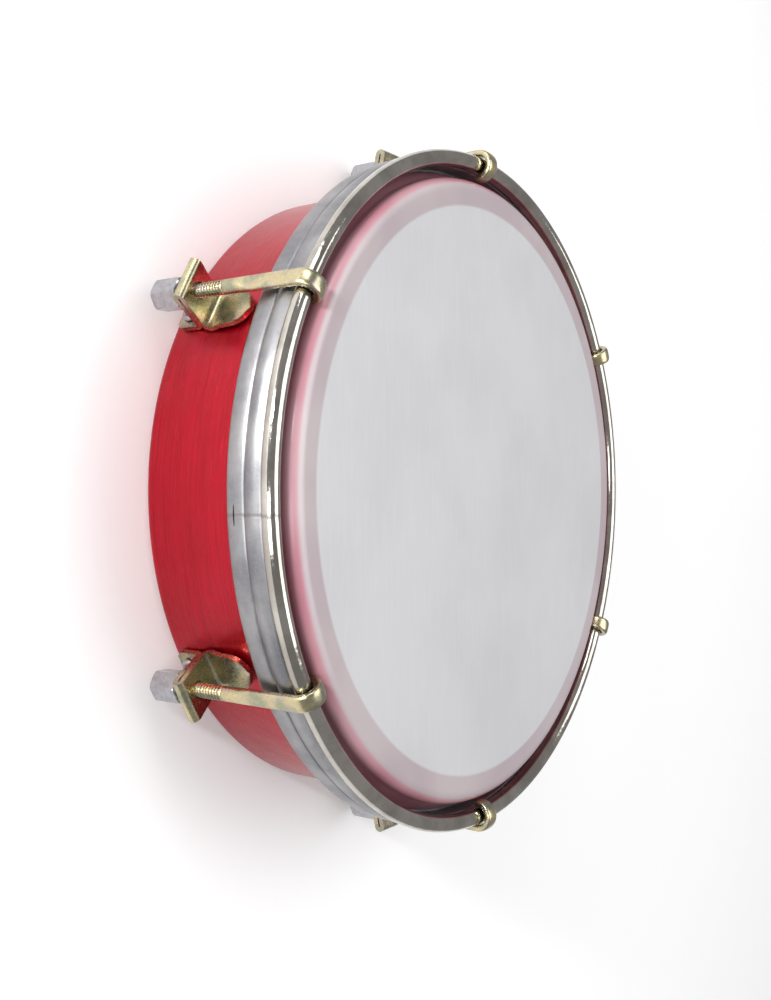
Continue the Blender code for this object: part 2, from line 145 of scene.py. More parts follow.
def strip(line, sheet):
    """The closed outline of a sheet of that thickness with rounded edges, whose middle is the line."""
    side = normals(line) * sheet / 2
    first, last = line[0], line[-1]
    turn = np.linspace(0, math.pi, 5)[1:-1, None]
    tip = last + side[-1] * np.cos(turn) + np.array([side[-1][1], -side[-1][0]]) * np.sin(turn)
    tail = first - side[0] * np.cos(turn) - np.array([side[0][1], -side[0][0]]) * np.sin(turn)
    return np.concatenate([line + side, tip, (line - side)[::-1], tail])


def revolve(name, outline, capped=False):
    """The outline (r, z) turned about Z: x = r cos a, y = r sin a.

    A capped one starts and ends at the axis, and both ends are closed there.
    """
    a = np.linspace(0, math.tau, TURN_STEPS, endpoint=False)
    r, z = outline[:, 0, None], outline[:, 1, None]
    points = np.stack([r * np.cos(a), r * np.sin(a), z + 0 * a], axis=2)
    return grid_object(name, points, wrap_rows=not capped, caps=capped)


def at_lug(points, index):
    """Points of the first lug turned about Z to another lug, by 60 degrees a lug."""
    a = math.tau * index / LUGS
    turn = np.array([[math.cos(a), -math.sin(a), 0], [math.sin(a), math.cos(a), 0], [0, 0, 1]])
    return points @ turn.T


print(TURN_STEPS, "points round a ring,", LUGS, "lugs,", 360 // LUGS, "degrees apart")

# %% [markdown]
# ## Holes
# Holes in sheet are punched, and so they are here: a rod-shaped cutter is taken away with an exact Boolean,
# and the result is kept as a plain mesh. A grid could bend round a hole, but a punch is simpler to read.
# %% Cutting
CUTTER_SIDES = 40


def rod(name, centre, direction, radii, depth):
    """A closed elliptic rod used as a cutter: x = a cos t, y = b sin t, along a direction."""
    forward = Vector(direction).normalized()
    turn = np.array(forward.to_track_quat("Z", "Y").to_matrix())
    a = np.linspace(0, math.tau, CUTTER_SIDES, endpoint=False)
    ring = np.stack([radii[0] * np.cos(a), radii[1] * np.sin(a), 0 * a], axis=1)
    ends = [ring + [0, 0, t * depth / 2] for t in (-1, 1)]
    return grid_object(name, np.stack(ends) @ turn.T + np.array(centre), caps=True)


def carve(made, *cutters):
    """Takes the cutters away from a piece, keeps the result as its mesh and removes the cutters."""
    for cutter in cutters:
        cut = made.modifiers.new("Cut", "BOOLEAN")
        cut.solver = "EXACT"
        cut.object = cutter
    graph = bpy.context.evaluated_depsgraph_get()
    baked = bpy.data.meshes.new_from_object(made.evaluated_get(graph))
    made.modifiers.clear()
    made.data = baked
    baked.shade_smooth()
    for cutter in cutters:
        bpy.data.objects.remove(cutter)


# %% [markdown]
# ## Shader arithmetic
# A material's pattern is a formula over position. Nodes could be made and linked one by one, but with this
# small class the formulas are written as formulas.
# %% Values that act like numbers


class Value:
    """A shader socket that can be added, multiplied and shaped like a number."""

    def __init__(self, tree, socket):
        self.tree = tree
        self.socket = socket

    def node(self, kind, inputs, **settings):
        """A node with its inputs, by name or index, and its settings; its first output as a Value."""
        made = self.tree.nodes.new(kind)
        for key, value in settings.items():
            setattr(made, key, value)
        for key, value in inputs.items():
            if isinstance(value, Value):
                self.tree.links.new(value.socket, made.inputs[key])
            else:
                made.inputs[key].default_value = value
        return Value(self.tree, made.outputs[0])

    def math(self, operation, *values):
        """A Math node of that operation over the values."""
        return self.node("ShaderNodeMath", dict(enumerate(values)), operation=operation)

    def __add__(self, other):
        return self.math("ADD", self, other)

    __radd__ = __add__

    def __mul__(self, other):
        return self.math("MULTIPLY", self, other)

    __rmul__ = __mul__

    def __sub__(self, other):
        return self.math("SUBTRACT", self, other)

    def __rsub__(self, other):
        return self.math("SUBTRACT", other, self)

    def __truediv__(self, other):
        return self.math("DIVIDE", self, other)

    def __rtruediv__(self, other):
        return self.math("DIVIDE", other, self)

    def step(self, low, high, start=0.0, end=1.0):
        """A smooth change from start, below low, to end, above high."""
        inputs = {"Value": self, "From Min": low, "From Max": high, "To Min": start, "To Max": end}
        return self.node("ShaderNodeMapRange", inputs, interpolation_type="SMOOTHSTEP")

    def bump_at(self, centre, width):
        """A smooth hill of height 1 at centre, gone at a width to each side."""
        return self.math("ABSOLUTE", self - centre).step(0.0, width, 1.0, 0.0)

    def mix(self, first, second):
        """The colour between two colours, by this value from 0 to 1."""
        mixed = self.tree.nodes.new("ShaderNodeMix")
        mixed.data_type = "RGBA"
        self.tree.links.new(self.socket, mixed.inputs[0])
        for socket, colour in ((mixed.inputs[6], first), (mixed.inputs[7], second)):
            if isinstance(colour, Value):
                self.tree.links.new(colour.socket, socket)
            else:
                socket.default_value = (*colour, 1.0)
        return Value(self.tree, mixed.outputs[2])


# %% [markdown]
# ## A finish knows where it is
# Every finish below depends on the place on the drum: the height, the distance from the axis or the angle
# round it. Pieces lie unturned in the drum's own frame, so object coordinates give all three, which unwrapped
# maps would not.
# %% Finishes and how a piece gets one


class Finish:
    """A material with its position, in millimetres, ready for formulas."""

    def __init__(self, name, **constants):
        self.material = bpy.data.materials.new(name)
        self.material.use_nodes = True
        tree = self.material.node_tree
        self.shader = tree.nodes["Principled BSDF"]
        coordinates = tree.nodes.new("ShaderNodeTexCoord")
        start = Value(tree, coordinates.outputs["Object"])
        self.place = self.vector("SCALE", start, Scale=1 / MM)
        split = self.place.node("ShaderNodeSeparateXYZ", {0: self.place})
        self.x, self.y, self.z = (Value(tree, socket) for socket in split.socket.node.outputs)
        squares = self.x * self.x + self.y * self.y
        self.r = squares.math("SQRT", squares)
        self.turn = self.y.math("ARCTAN2", self.y, self.x) * (180 / math.pi)
        for key, value in constants.items():
            self.shader.inputs[key.replace("_", " ")].default_value = value

    @staticmethod
    def vector(operation, *values, **named):
        """A Vector Math node of that operation over the values, the first of them a Value."""
        inputs = {**dict(enumerate(values)), **named}
        return values[0].node("ShaderNodeVectorMath", inputs, operation=operation)

    def noise(self, scale, detail=4.0, roughness=0.55, seed=0.0):
        """Noise from 0 to 1; scale is per millimetre, one number or one for each of X, Y and Z."""
        three = scale if isinstance(scale, tuple) else (scale,) * 3
        stretched = self.vector("MULTIPLY", self.place, three)
        moved = self.vector("ADD", stretched, (seed, seed * 2, seed * 3))
        inputs = {"Vector": moved, "Scale": 1.0, "Detail": detail, "Roughness": roughness}
        return moved.node("ShaderNodeTexNoise", inputs)

    def set(self, **values):
        """Links Values to the shader's sockets, named with _ for a space."""
        for key, value in values.items():
            self.material.node_tree.links.new(value.socket, self.shader.inputs[key.replace("_", " ")])

    def bump(self, height, strength=1.0):
        """Relief of that height, which is in millimetres where it is 1."""
        inputs = {"Height": height, "Distance": MM, "Strength": strength}
        self.set(Normal=height.node("ShaderNodeBump", inputs))


def place_piece(made, finish, slot, body, *nodes):
    """Gives a piece its finish and body, and lets it stand for its CAD nodes."""
    made.data.materials.clear()
    made.data.materials.append(finish.material)
    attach(made, body)
    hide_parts(*nodes)
    print(made.name, len(made.data.vertices), "points, on", body)


# %% [markdown]
# ## The shell in red lacquer
# The shell is rolled from brushed sheet under red lacquer, which is worn at the rear rim. Noise that is fine
# along the axis stands for the brushing in colour, roughness and relief, and coarse noise for shallow dents.
# An image could do the same, but a formula has no fixed resolution and needs no unwrapping.
# %% Red lacquer
RED_DARK = (0.32, 0.0004, 0.009)
RED_LIGHT = (0.56, 0.002, 0.024)
RED_CLOUD = (0.36, 0.001, 0.008)
WORN_EDGE = (0.55, 0.40, 0.38)


def red_lacquer():
    """Brushing, clouds, and scuffs that show the metal along the rear rim."""
    finish = Finish("red_lacquer_look", Coat_Weight=0.30, Coat_Roughness=0.12, Metallic=0.9)
    brushing = finish.noise((0.05, 0.05, 9.0), 5.0, 0.65)
    clouds = finish.noise(0.06, 3.0, 0.5, seed=3.0)
    scuffs = finish.noise((0.25, 0.25, 1.6), 6.0, 0.7, seed=9.0).step(0.62, 0.76)
    dents = finish.noise(0.16, 2.0, 0.4, seed=5.0)
    deep = brushing.step(0.3, 0.75).mix(RED_DARK, RED_LIGHT)
    hue = (clouds.step(0.35, 0.7) * 0.5).mix(deep, RED_CLOUD)
    edge = finish.z.step(0.2, 1.6, 1.0, 0.0) * scuffs
    finish.set(Base_Color=(edge * 0.6).mix(hue, WORN_EDGE))
    finish.set(Roughness=brushing.step(0.2, 0.8, 0.24, 0.38) + scuffs * 0.12)
    finish.bump(brushing * 0.060 + dents * 0.25)
    return finish


RED = red_lacquer()
print(RED.material.name, len(RED.material.node_tree.nodes), "nodes")

# %% [markdown]
# ### The shell's form
# One sheet bends in at the rear to stiffen the rim, and bends in at the head to carry the film. It could be a
# tube with two flat rings, but then the corners would be sharp. So its profile is the middle line of the bent
# sheet, turned round the axis. It has no holes for the rivets, whose heads and tails would cover them.
# %% Shell
SHEET = 1.2
SHELL_RADIUS = 76.2
SHELL_DEPTH = 41.5
HEAD_CORNER = 2.5
REAR_CORNER = 1.6
REAR_FLANGE = 4.0
HEAD_OPENING = 69.8


def shell_line():
    """The shell's middle line: rear flange, rear corner, wall, head corner, bearing flange."""
    half = SHEET / 2
    start = (SHELL_RADIUS - REAR_CORNER - REAR_FLANGE, half)
    wall = (SHELL_DEPTH - REAR_CORNER - HEAD_CORNER,)
    bearing = (SHELL_RADIUS - HEAD_CORNER - HEAD_OPENING,)
    return path(start, 0, (REAR_FLANGE,), (REAR_CORNER - half, 90), wall, (HEAD_CORNER - half, 90), bearing)


shell = revolve("shell_sheet", strip(shell_line(), SHEET))
place_piece(shell, RED, SLOT["shell"], "drum_body", "shell")

# %% [markdown]
# ## The head
# The film is milky plastic. Over the shell's bent edge it shows a greyish ring, over the corner a pink line,
# and down the side it glows pink with the shell behind it. Real translucency could give this, but it would
# hang on the light inside the drum, so the tones are set by radius and height. Low down, in the gap under the
# hoop's lip, the collar is darkened with painted shade.
# %% Milky film
DISC_DARK = (0.60, 0.60, 0.61)
DISC_LIGHT = (0.65, 0.65, 0.66)
DISC_STREAK = (0.72, 0.72, 0.73)
STICK_MARK = (0.36, 0.34, 0.33)
RING_DARK = (0.47, 0.39, 0.41)
RING_LIGHT = (0.54, 0.47, 0.48)
CORNER_PINK = (0.62, 0.16, 0.22)
COLLAR_DARK = (0.50, 0.20, 0.25)
COLLAR_LIGHT = (0.60, 0.34, 0.38)
COLLAR_PAINTED_SHADE = (0.36, 0.12, 0.15)
CORNER_LINE = 76.0


def milky_film():
    """Disc, ring and corner line by radius, and the collar by height, darkened low down by painted shade,
    with faint stick marks.
    """
    finish = Finish("milky_film_look", Coat_Weight=0.25, Coat_Roughness=0.2)
    streaks = finish.noise((0.08, 0.9, 0.9), 5.0, 0.6)
    haze = finish.noise(0.03, 3.0, 0.5, seed=4.0)
    marks = finish.noise(0.9, 6.0, 0.75, seed=11.0).step(0.66, 0.74)
    ripple = finish.noise(0.35, 4.0, 0.5, seed=7.0)
    disc = haze.step(0.3, 0.7).mix(DISC_DARK, DISC_LIGHT)
    disc = (streaks.step(0.45, 0.75) * 0.25).mix(disc, DISC_STREAK)
    disc = (marks * 0.25).mix(disc, STICK_MARK)
    ring = haze.step(0.35, 0.65).mix(RING_DARK, RING_LIGHT)
    flat = finish.r.step(HEAD_OPENING - 0.4, HEAD_OPENING + 0.5).mix(disc, ring)
    line = finish.r.bump_at(CORNER_LINE, 0.9) * finish.z.step(41.0, 41.8)
    rim = (line * 0.8).mix(flat, CORNER_PINK)
    collar = haze.step(0.3, 0.7).mix(COLLAR_DARK, COLLAR_LIGHT)
    side = finish.z.step(41.2, 41.9, 1.0, 0.0).mix(rim, collar)
    # Painted shade: the collar is made darker lower down, in the gap between the hoop's lip and the shell.
    low = finish.z.step(37.5, 41.0, 1.0, 0.0)
    finish.set(Base_Color=(low * 0.5).mix(side, COLLAR_PAINTED_SHADE))
    finish.set(Roughness=streaks.step(0.3, 0.8, 0.28, 0.42))
    finish.bump(ripple * 0.05 + marks * 0.01, 0.5)
    return finish


FILM = milky_film()
print(FILM.material.name, len(FILM.material.node_tree.nodes), "nodes")

# %% [markdown]
# ### The film's form
# The film lies flat over the bearing flange, turns down round its corner and flares into the channel ring.
# A disc with a separate collar would look alike, but the real head is one film. The flat disc needs few rings
# of points, so most of them are dropped.
# %% Head film
SEAT_GAP = 0.3
FILM_SHEET = 0.3
COLLAR_RUN = 0.3
COLLAR_BEND = (3.0, 28)
COLLAR_SKIRT = 4.1
POLE = 0.02
DISC_RING = 9
CLOSE_RINGS_FROM = 60
STRIP_TAIL = 3


def film_outline():
    """The film's two faces joined at its free edge, from the axis outwards and back.

    Every ninth ring is kept on the disc and every ring near its edge. The strip's last points, which would
    round its end at the axis, are dropped.
    """
    rise = SEAT_GAP + FILM_SHEET / 2
    disc = [(SHELL_RADIUS - HEAD_CORNER - POLE,), (HEAD_CORNER + rise, -90)]
    line = path((POLE, SHELL_DEPTH + rise), 0, *disc, (COLLAR_RUN,), COLLAR_BEND, (COLLAR_SKIRT,))
    line = line[(line[:, 0] > CLOSE_RINGS_FROM) | (np.arange(len(line)) % DISC_RING == 0)]
    return strip(line, FILM_SHEET)[:-STRIP_TAIL]


film = revolve("head_film_sheet", film_outline(), capped=True)
place_piece(film, FILM, SLOT["film"], "drum_body", "head_film")

# %% [markdown]
# ## Plated steel
# The hoop's bands are left satin and its lip is polished. A dark line crosses it where its two ends meet. Two
# materials, split by faces, would have a hard border. One finish with height as its mask has a soft one, and
# that lies on the bend.
# %% Satin bands and polished lip
SEAM = -86.6
SATIN_DARK = (0.20, 0.20, 0.215)
SATIN_LIGHT = (0.34, 0.335, 0.34)
SATIN_GRAIN = (0.50, 0.49, 0.49)
LIP_DARK = (0.40, 0.37, 0.33)
LIP_LIGHT = (0.56, 0.53, 0.47)
JOINT_DARK = (0.16, 0.14, 0.13)


def satin_steel():
    """Grain and brushing below the lip, a smoother metal on it, and a dark line at the joint's angle."""
    finish = Finish("plated_steel_look", Metallic=1.0)
    grain = finish.noise(5.0, 5.0, 0.7)
    brushing = finish.noise((0.06, 0.06, 7.0), 4.0, 0.6, seed=2.0)
    clouds = finish.noise(0.10, 4.0, 0.6, seed=6.0)
    waves = finish.noise(0.3, 2.0, 0.5, seed=8.0)
    lip = finish.z.step(38.2, 38.8)
    joint = finish.turn.bump_at(SEAM, 0.45)
    satin = clouds.step(0.3, 0.7).mix(SATIN_DARK, SATIN_LIGHT)
    satin = (grain.step(0.5, 0.7) * 0.4).mix(satin, SATIN_GRAIN)
    polished = clouds.step(0.35, 0.65).mix(LIP_DARK, LIP_LIGHT)
    finish.set(Base_Color=(joint * 0.55).mix(lip.mix(satin, polished), JOINT_DARK))
    dull = brushing.step(0.2, 0.8, 0.30, 0.46)
    shine = grain.step(0.3, 0.8, 0.07, 0.14)
    finish.set(Roughness=dull * (1 - lip) + shine * lip + joint * 0.15)
    relief = grain * 0.012 * (1 - lip) + brushing * 0.010 + waves * 0.08
    finish.bump(relief - joint * 0.05, 0.8)
    return finish


STEEL = satin_steel()
print(STEEL.material.name, len(STEEL.material.node_tree.nodes), "nodes")

# %% [markdown]
# ## The counter hoop
# The hoop is one formed strip: a flat band, a pressed groove, a rounded band, a shoulder and a lip curled
# outwards into a bead. It is bent to a ring until its ends meet. Stacked rings could imitate the bands, but
# the real hoop is one strip, and so is this. A small slit is cut through the flat band at the joint, and here
# it runs a short way round the hoop.
# %% Counter hoop
SKIRT_RADIUS = 81.9
HOOP_SHEET = 1.15
HOOP_REAR = 29.86
GROOVE_DEPTH = 0.35
BAND_2 = (34.4, 37.3)
BEAD_CURL = -212
SLIT_PLACE = (82.0, 0, 31.3)
SLIT = (2.2, 0.18)
SLIT_DEPTH = 6.0
HOOP_EDGES = 50


def hoop_line():
    """The hoop's middle line from its rear edge up to the end of the curled lip.

    The rounded band swells by a half wave: r = skirt + 0.33 sin(pi t).
    """
    r, deep = SKIRT_RADIUS, SKIRT_RADIUS - GROOVE_DEPTH
    flat = [(r, HOOP_REAR), (r, 31.6), (r, 33.30)]
    groove = [(r - 0.12, 33.5), (deep, 33.72), (deep, 33.98), (r - 0.1, 34.2)]
    t = np.linspace(0, 1, 9)
    height = BAND_2[0] + (BAND_2[1] - BAND_2[0]) * t
    bulge = np.stack([r + 0.03 + 0.33 * np.sin(math.pi * t), height], axis=1)
    lip = path((r, BAND_2[1]), 90, (0.85, 90), (0.2,), (0.8, -90), (0.95,), (1.35, BEAD_CURL))
    return np.concatenate([flat, groove, bulge, lip[1:]])


hoop = revolve("counter_hoop_strip", strip(hoop_line(), HOOP_SHEET))
slit_turn = Matrix.Rotation(math.radians(SEAM), 3, "Z")
slit_place = slit_turn @ Vector(SLIT_PLACE)
carve(hoop, rod("slit", slit_place, slit_turn @ Vector((1, 0, 0)), SLIT, SLIT_DEPTH))
sharpen(hoop, HOOP_EDGES)
place_piece(hoop, STEEL, SLOT["steel"], "tension_ring", "counter_hoop")

# %% [markdown]
# ### The channel ring
# The film's rim is held in a ring of thin sheet, bent to a channel that is open at the top. The photo hides
# it under the hoop, so its form is a guess. It could stay a CAD solid, but from the rear its facets would
# show beside the smooth hoop, and a turned strip is quickly made.
# %% Channel ring
CHANNEL_SHEET = 0.6
CHANNEL_START = (77.0, 35.1)
CHANNEL_CORNER = (0.4, 90)
channel_line = path(CHANNEL_START, -90, (1.9,), CHANNEL_CORNER, (2.2,), CHANNEL_CORNER, (4.1,))
channel = revolve("channel_ring", strip(channel_line, CHANNEL_SHEET))
place_piece(channel, STEEL, SLOT["steel"], "drum_body", "flesh_hoop")

# %% [markdown]
# ## Yellow zinc
# Hooks and brackets are plated in yellow zinc, which turns from grey-green to gold and rose in patches and
# wears grey. The patches come from noise at a scale of a few millimetres. A true thin-film colour could be
# worked out from the angle, but the patches are what the eye sees.
# %% Yellow zinc
ZINC_GREEN = (0.36, 0.36, 0.25)
ZINC_GOLD = (0.58, 0.50, 0.30)
ZINC_ROSE = (0.55, 0.40, 0.42)
ZINC_WORN = (0.26, 0.24, 0.19)


def yellow_zinc():
    """Green and gold patches, rosy ones over them, and wear that dulls the shine."""
    finish = Finish("yellow_zinc_look", Metallic=1.0)
    patches = finish.noise(0.22, 3.0, 0.5)
    wear = finish.noise(1.4, 6.0, 0.7, seed=5.0)
    grain = finish.noise(6.0, 4.0, 0.6, seed=8.0)
    rosy = finish.noise(0.30, 2.0, 0.5, seed=14.0).step(0.52, 0.68)
    tone = patches.step(0.38, 0.60).mix(ZINC_GREEN, ZINC_GOLD)
    tone = (rosy * 0.45).mix(tone, ZINC_ROSE)
    finish.set(Base_Color=(wear.step(0.60, 0.75) * 0.35).mix(tone, ZINC_WORN))
    finish.set(Roughness=wear.step(0.3, 0.8, 0.20, 0.42))
    finish.bump(grain * 0.008 + wear * 0.012 + patches * 0.05, 0.8)
    return finish


ZINC = yellow_zinc()
print(ZINC.material.name, len(ZINC.material.node_tree.nodes), "nodes")

# %% [markdown]
# ## Tension hooks
# Each hook is 1/8 inch rod, threaded at its lower end. Its upper part was flattened in a press and bent over
# the lip, so its faces are flat and its edges bulge. One section carried along one path, changing from round
# to flat on the way, gives rod, thread and hook as a single surface. Joined primitives would show a seam.
# %% Hooks
ROD_AXIS = 84.5
ROD_RADIUS = 1.6
ROD_START = 2.2
PITCH = 0.8
THREAD_DEPTH = 0.42
THREAD_END = 21.0
THREAD_RUN_OUT = 0.8
THREAD_POINTS = 9
SHANK_START = 21.2
FLAT_FROM = 26.0
FLAT_RAMP = 1.5
FLAT_HALF = 0.86
FLAT_POWER = 3.6
WIDTH_STATIONS = [FLAT_FROM + 6, 45, 51]
HALF_WIDTHS = [ROD_RADIUS, 1.85, 1.92, 2.0, 1.75]
BEND_HEIGHT = 39.96
HOOK_BEND = 3.1
HOOK_TIP = 0.5
TAPER_RUN = 0.7
TAPER_SHARE = 0.78
END_SHRINK = 0.8
REAR_STEP = 0.1
TIP_STEP = 0.12
HOOK_EDGES = 60


def hook_line():
    """Points up the thread at a ninth of its pitch, then up the shank, round the bend and to the tip."""
    low = np.arange(ROD_START, THREAD_END, PITCH / THREAD_POINTS)
    thread_part = np.stack([np.full(len(low), ROD_AXIS), low], axis=1)
    bend_part = [(BEND_HEIGHT - SHANK_START,), (HOOK_BEND, 180), (HOOK_TIP,)]
    return np.concatenate([thread_part, path((ROD_AXIS, SHANK_START), 90, *bend_part)])


def hook_points():
    """A superellipse |x/a|^p + |y/b|^p = 1 carried up the shank and over the lip, with a thread below.

    The thread is a wave of the radius, r = R - d (1 + cos(2 pi z / pitch - a)) / 2.
    """
    line = hook_line()
    length = lengths(line) + ROD_START
    ramp = [FLAT_FROM - FLAT_RAMP, FLAT_FROM + FLAT_RAMP]
    thick = np.interp(length, ramp, [ROD_RADIUS, FLAT_HALF])[:, None]
    wide = np.interp(length, ramp + WIDTH_STATIONS, HALF_WIDTHS)[:, None]
    power = np.interp(length, ramp, [2.0, FLAT_POWER])[:, None]
    thread_span = [ROD_START, ROD_START + THREAD_RUN_OUT, THREAD_END - THREAD_RUN_OUT, THREAD_END]
    depth = THREAD_DEPTH * np.interp(length, thread_span, [1, 1, 1, 0])[:, None]
    taper = np.interp(length, [ROD_START, ROD_START + TAPER_RUN], [TAPER_SHARE, 1.0])[:, None]
    a = np.linspace(0, math.tau, 32, endpoint=False)
    c, s = np.cos(a), np.sin(a)
    cut = depth * (0.5 + 0.5 * np.cos(math.tau * length[:, None] / PITCH - a))
    x = np.sign(c) * np.abs(c) ** (2 / power) * (thick * taper - cut)
    y = np.sign(s) * np.abs(s) ** (2 / power) * (wide * taper - cut)
    out = -normals(line)
    r = line[:, 0, None] + out[:, 0, None] * x
    z = line[:, 1, None] + out[:, 1, None] * x
    points = np.stack([r, y, z], axis=2)
    middle = points.mean(axis=1, keepdims=True)
    first = middle[:1] + (points[:1] - middle[:1]) * END_SHRINK - [0, 0, REAR_STEP]
    onward = points[-1:] - points[-2:-1]
    onward = onward / np.linalg.norm(onward[0, 0]) * TIP_STEP
    last = middle[-1:] + (points[-1:] - middle[-1:]) * END_SHRINK + onward
    return np.concatenate([first, points, last])


for lug in range(LUGS):
    hook = grid_object(f"hook_rod_{lug + 1}", at_lug(hook_points(), lug), caps=True)
    sharpen(hook, HOOK_EDGES)
    place_piece(hook, ZINC, SLOT["zinc"], "tension_ring", f"tension_hook_{lug + 1}")

# %% [markdown]
# ## Nuts
# A long hexagon nut is made from bar, chamfered at both ends and plated bright. Its radius is the smaller of
# a hexagon's and a cone's, so one grid gives the flats and the curved edge where the chamfer meets them. A
# Boolean of prism and cone could give the same form, but with worse faces. The thread is on the rod, and the
# bore is a plain one.
# %% Bright zinc and the nuts
BRIGHT_LIGHT = (0.50, 0.50, 0.53)
BRIGHT_STAIN = (0.36, 0.36, 0.37)
NUT_LENGTH = 7.4
NUT_FLATS = 6.35
NUT_CHAMFER = 0.5
CHAMFER_SLOPE = 1.2
END_STEP = 0.12
NUT_BORE = 1.85
NUT_MOUTH = 2.1
MOUTH_DEPTH = 0.3
NUT_RINGS = [0, 0.15, 0.3, 0.5, 0.8, 2.5, 4.5, 6.2, 6.6, 6.9, 7.15, NUT_LENGTH]
NUT_EDGES = 24


def bright_zinc():
    """Turning marks, and stains that darken the plating."""
    finish = Finish("bright_zinc_look", Metallic=1.0)
    turning = finish.noise((0.8, 0.8, 8.0), 4.0, 0.6)
    stain = finish.noise(0.7, 5.0, 0.7, seed=4.0)
    finish.set(Base_Color=stain.step(0.35, 0.7).mix(BRIGHT_LIGHT, BRIGHT_STAIN))
    finish.set(Roughness=turning.step(0.2, 0.8, 0.12, 0.26))
    finish.bump(turning * 0.012 + stain * 0.02, 0.7)
    return finish


def nut_points(top):
    """Radius min(flat / cos(a mod 60), cone(z)) outside, and the plain bore, as one closed profile."""
    a = np.linspace(0, math.tau, 96, endpoint=False)
    hexagon = NUT_FLATS / 2 / np.cos((a + math.pi / 6) % (math.pi / 3) - math.pi / 6)
    face = NUT_FLATS / math.sqrt(3) - NUT_CHAMFER
    heights = np.array(NUT_RINGS)
    cone = face + np.minimum(heights, NUT_LENGTH - heights) * CHAMFER_SLOPE
    cone[0] = cone[-1] = face - END_STEP
    outer = np.minimum(hexagon[None, :], cone[:, None])
    bore = np.array([NUT_MOUTH, NUT_BORE, NUT_BORE, NUT_MOUTH])[:, None] + 0 * a
    bore_heights = np.array([NUT_LENGTH, NUT_LENGTH - MOUTH_DEPTH, MOUTH_DEPTH, 0.0])
    radius = np.concatenate([outer, bore])
    z = np.concatenate([heights, bore_heights])[:, None] + 0 * a + top - NUT_LENGTH
    return np.stack([ROD_AXIS + radius * np.cos(a), radius * np.sin(a), z], axis=2)


BRIGHT = bright_zinc()
print(BRIGHT.material.name, len(BRIGHT.material.node_tree.nodes), "nodes")
nut_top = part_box("tension_nut_1")[1].z / MM
for lug in range(LUGS):
    nut = grid_object(f"long_nut_{lug + 1}", at_lug(nut_points(nut_top), lug), wrap_rows=True)
    sharpen(nut, NUT_EDGES)
    place_piece(nut, BRIGHT, SLOT["bright"], f"nut_{lug + 1}", f"tension_nut_{lug + 1}")

# %% [markdown]
# ## Brackets
# A bracket is one pressed strip: a riveted tab, a riser, a hairpin crest with a hole for the rod through both
# leaves, and a dished foot that bears on the shell. Boxes joined at angles would be quicker, but would have
# no bends. One bent path with widths along it gives them all. Then the holes are cut and the edges broken.
# %% Brackets
ON_SHELL = SHELL_RADIUS + SEAT_GAP + SHEET / 2
LEAN = 14
TAB_START = 2.5
TAB_RUN = 5.7
RISER_BEND = 1.3
HAIRPIN = 0.8
FOOT_BEND = 1.6
FOOT_RUN = 9.4
FOOT_ROUND = 4.2
CREST_RADIUS = 89.7
DISH = 0.8
CREST_SAG = 0.10
RISER_BEND_WAY = 1.7
HALF_HAIRPIN_WAY = 1.2
STRIP_HALF_WIDTHS = [2.6, 3.3, 3.7, 3.7, 3.9, 5.0, 5.0, 4.5, 4.6, 4.4]
ROD_WAY = 1.95
ROD_WAY_HEIGHT = 14
ROD_WAY_DEPTH = 16
RIVET_WAY = 1.55
RIVET_WAY_DEPTH = 6
RIVET_HEIGHT = 5.44
BROKEN_EDGE = 0.16
BRACKET_EDGES = 50


def bracket_points():
    """A grid, u along the bent path and v across it, and the path's normals.

    The half width is read along u, the foot's end is rounded by sqrt(1 - s^2.4), and foot and crest curve
    across the strip with v^2.
    """
    lean = math.radians(LEAN)
    slope = math.sin(lean)
    crest = CREST_RADIUS - HAIRPIN - SHEET / 2
    riser = (crest - ON_SHELL - RISER_BEND * (1 - slope)) / math.cos(lean)
    leg = (crest - 2 * HAIRPIN * slope - ON_SHELL - FOOT_BEND * (1 + slope)) / math.cos(lean)
    up = [(TAB_RUN,), (RISER_BEND, LEAN - 90), (riser,)]
    down = [(HAIRPIN, 180), (leg,), (FOOT_BEND, -90 - LEAN), (FOOT_RUN,)]
    line = path((ON_SHELL, TAB_START), 90, *up, *down)
    along = lengths(line)
    total = along[-1]
    crest_at = TAB_RUN + RISER_BEND_WAY + riser + HALF_HAIRPIN_WAY
    foot_at = total - FOOT_RUN
    stations = [0, 0.7, 1.5, TAB_RUN, 8.0, crest_at - 2, crest_at + 2, foot_at - 1, foot_at + 3, total - 4]
    half = np.interp(along, stations, STRIP_HALF_WIDTHS)
    share = np.clip((along - (total - FOOT_ROUND)) / FOOT_ROUND, 0, 0.985)
    half = half * np.sqrt(1 - share ** 2.4)
    v = np.linspace(-1, 1, 17)
    dish = DISH * np.interp(along, [foot_at, foot_at + 3, total - 2, total], [0, 1, 1, 0.4])
    sag = CREST_SAG * np.interp(along, [crest_at - 3, crest_at, crest_at + 3], [0, 1, 0])
    r = line[:, 0, None] + (dish - sag)[:, None] * v ** 2
    z = line[:, 1, None] + 0 * v
    return np.stack([r, half[:, None] * v, z], axis=2), normals(line)


